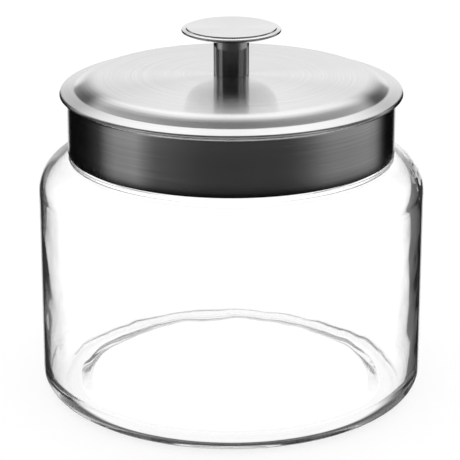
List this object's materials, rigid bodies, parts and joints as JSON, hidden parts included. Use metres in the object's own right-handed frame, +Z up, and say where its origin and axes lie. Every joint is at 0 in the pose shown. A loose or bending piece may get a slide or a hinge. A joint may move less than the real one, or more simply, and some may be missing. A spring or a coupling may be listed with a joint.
{
  "type": "glass storage jar",
  "caption": "Wide clear glass storage jar with a rounded shoulder, and a spun aluminium lid with a deep band, a stepped flange and a flat disc knob on a post.",
  "frame": {"origin": "middle of the jar's foot, on the surface it stands on", "axes": "+Z up along the jar's axis; the jar is the same all round, so X and Y are free"},
  "size_m": [0.1852, 0.1852, 0.1771],
  "materials": {
    "clear_glass": "clear colourless soda-lime glass, fire polished, with slight waves in the wall",
    "clear_seal": "soft translucent white plastic",
    "band_metal": "satin, brushed round the band",
    "spun_metal": "satin, fine circular spin lines",
    "post_metal": "turned and polished",
    "disc_metal": "fine circular turning lines with a bright edge"
  },
  "bodies": {
    "root": {"glass_jar": "clear_glass", "seal_ring": "clear_seal", "lid_band": "band_metal", "lid_top": "spun_metal", "knob_post": "post_metal", "knob_disc": "disc_metal"}
  },
  "joints": []
}
